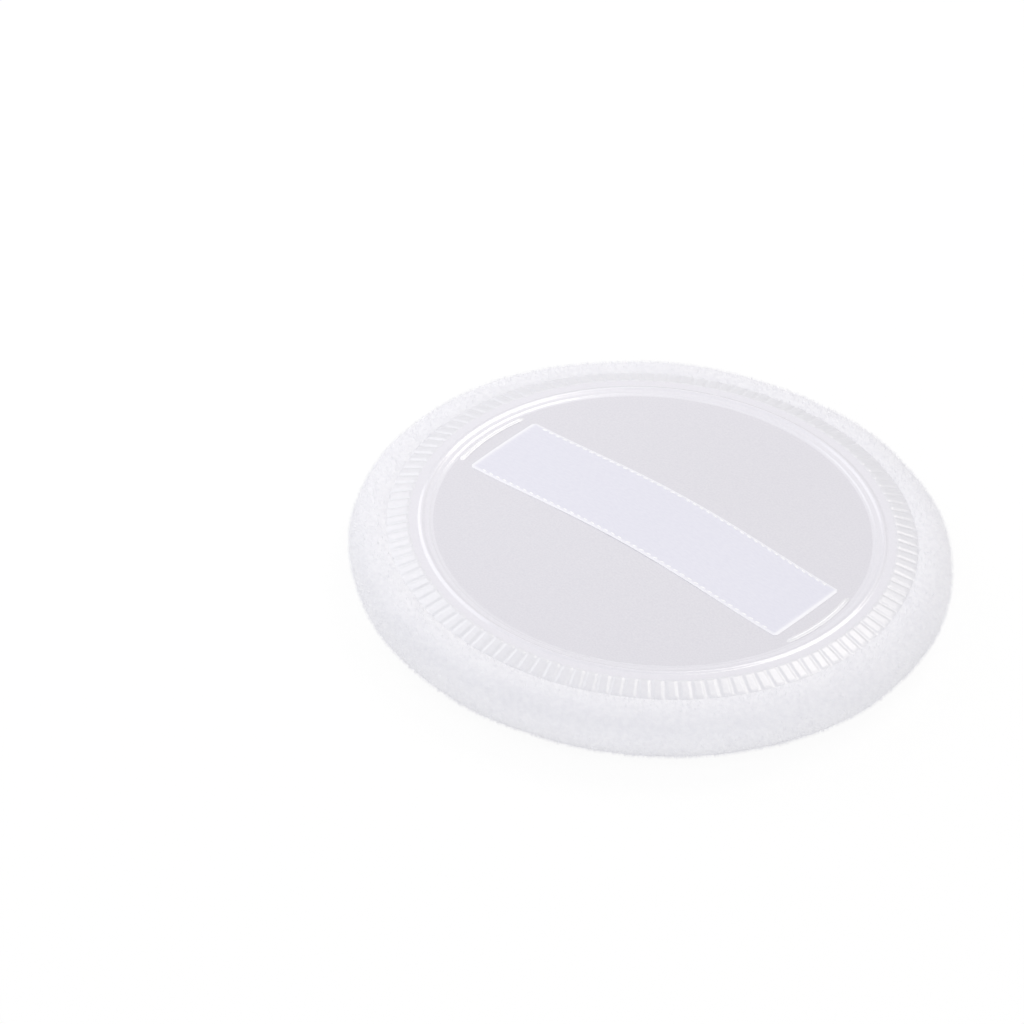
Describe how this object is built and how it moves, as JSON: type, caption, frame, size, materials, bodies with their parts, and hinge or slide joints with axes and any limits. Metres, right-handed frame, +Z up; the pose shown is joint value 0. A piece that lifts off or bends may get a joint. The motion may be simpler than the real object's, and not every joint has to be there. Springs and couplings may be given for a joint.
{
  "type": "powder puff",
  "caption": "Round powder puff with a plush pile face and rim, a satin back with a clear film border and crimped seam, and a ribbon strap for the fingers.",
  "frame": {"origin": "under the middle of the puff, on the plane of its flat pile face", "axes": "+Z up from the pile face to the ribboned back, +X along the ribbon, +Y across it"},
  "size_m": [0.09, 0.09, 0.0131],
  "materials": {
    "plush": "short white plush pile",
    "sponge": "open-cell sponge",
    "satin": "white satin weave",
    "film": "clear glossy film",
    "ribbon": "cool white satin ribbon"
  },
  "bodies": {
    "puff": {"pile_cover": "plush", "foam_core": "sponge", "back_panel": "satin", "film_border": "film", "crimped_seam": "film", "ribbon_run_left": "ribbon", "ribbon_run_right": "ribbon", "ribbon_end_left": "ribbon", "ribbon_end_right": "ribbon", "ribbon_weld_left": "film", "ribbon_weld_right": "film"},
    "strap": {"ribbon_strap": "ribbon"}
  },
  "joints": [
    {"name": "strap_lift", "type": "slide", "parent": "puff", "child": "strap", "axis": [0, 0, 1], "range_m": [0, 0.008], "deforming": ["ribbon_run_left", "ribbon_run_right"]}
  ]
}
